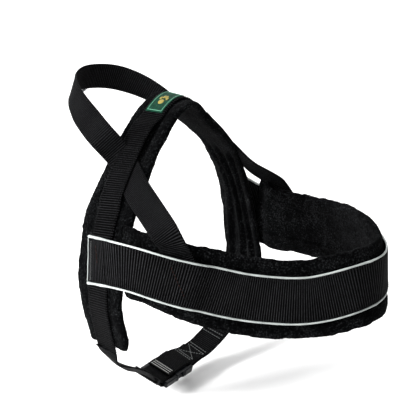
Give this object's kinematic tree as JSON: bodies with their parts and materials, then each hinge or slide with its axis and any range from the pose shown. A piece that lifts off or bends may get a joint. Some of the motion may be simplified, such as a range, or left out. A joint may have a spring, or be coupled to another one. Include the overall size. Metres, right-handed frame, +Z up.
{
  "type": "dog harness",
  "caption": "Padded chest harness for a large dog: saddle arch, wide chest band, diagonal straps that form a grab handle, and a belly strap with a side-release buckle.",
  "frame": {"origin": "middle of the saddle's underside, the flat that rests on the withers", "axes": "+X towards the dog's head, +Y towards its left side, +Z up"},
  "size_m": [0.3949, 0.3025, 0.3326],
  "materials": {
    "fleece": "soft brushed fleece",
    "foam": "open-cell padding",
    "webbing": "ribbed polyester webbing",
    "reflective": "retroreflective piping",
    "label": "woven patch",
    "plastic": "satin moulded acetal",
    "steel": "polished plated steel"
  },
  "bodies": {
    "harness": {"saddle_lining": "fleece", "saddle_foam": "foam", "saddle_outer": "fleece", "girth_webbing": "webbing", "label_patch": "label", "chest_lining": "fleece", "chest_foam": "foam", "chest_outer": "fleece", "chest_webbing": "webbing", "reflective_piping_upper": "reflective", "reflective_piping_lower": "reflective", "reflective_hem_near": "reflective", "reflective_hem_far": "reflective", "diagonal_strap_near": "webbing", "diagonal_strap_far": "webbing", "handle_root_near": "webbing", "handle_root_far": "webbing", "belly_strap_near": "webbing", "belly_strap_far": "webbing", "belly_strap_loop": "webbing", "buckle_socket": "plastic"},
    "handle": {"handle_loop": "webbing", "ring_keeper": "webbing"},
    "ring": {"lead_ring": "steel"},
    "plug": {"buckle_plug": "plastic", "adjuster_strap": "webbing", "strap_keeper": "webbing"},
    "arm_front": {"buckle_arm_front": "plastic"},
    "arm_rear": {"buckle_arm_rear": "plastic"}
  },
  "joints": [
    {"name": "handle_fold", "type": "hinge", "parent": "harness", "child": "handle", "pos_m": [-0.039, 0.0075, -0.035], "axis": [-0.0335, 0.9888, -0.1452], "range_deg": [-20, 45], "deforming": ["handle_root_near", "handle_root_far"]},
    {"name": "ring_swing", "type": "hinge", "parent": "handle", "child": "ring", "pos_m": [-0.13492, 0.01929, 0.00909], "axis": [0.1053, 0.9911, -0.0814], "range_deg": [0, 110]},
    {"name": "buckle_release", "type": "slide", "parent": "harness", "child": "plug", "axis": [0, -1, 0], "range_m": [0, 0.026], "deforming": ["belly_strap_near", "buckle_arm_front", "buckle_arm_rear"]},
    {"name": "arm_press_front", "type": "hinge", "parent": "plug", "child": "arm_front", "pos_m": [0.02344, -0.039, -0.30328], "axis": [0.2756, 0, 0.9613], "range_deg": [0, 12], "stiffness_Nm_per_rad": 0.2},
    {"name": "arm_press_rear", "type": "hinge", "parent": "plug", "child": "arm_rear", "pos_m": [0.00056, -0.039, -0.29672], "axis": [-0.2756, 0, -0.9613], "range_deg": [0, 12], "stiffness_Nm_per_rad": 0.2}
  ]
}
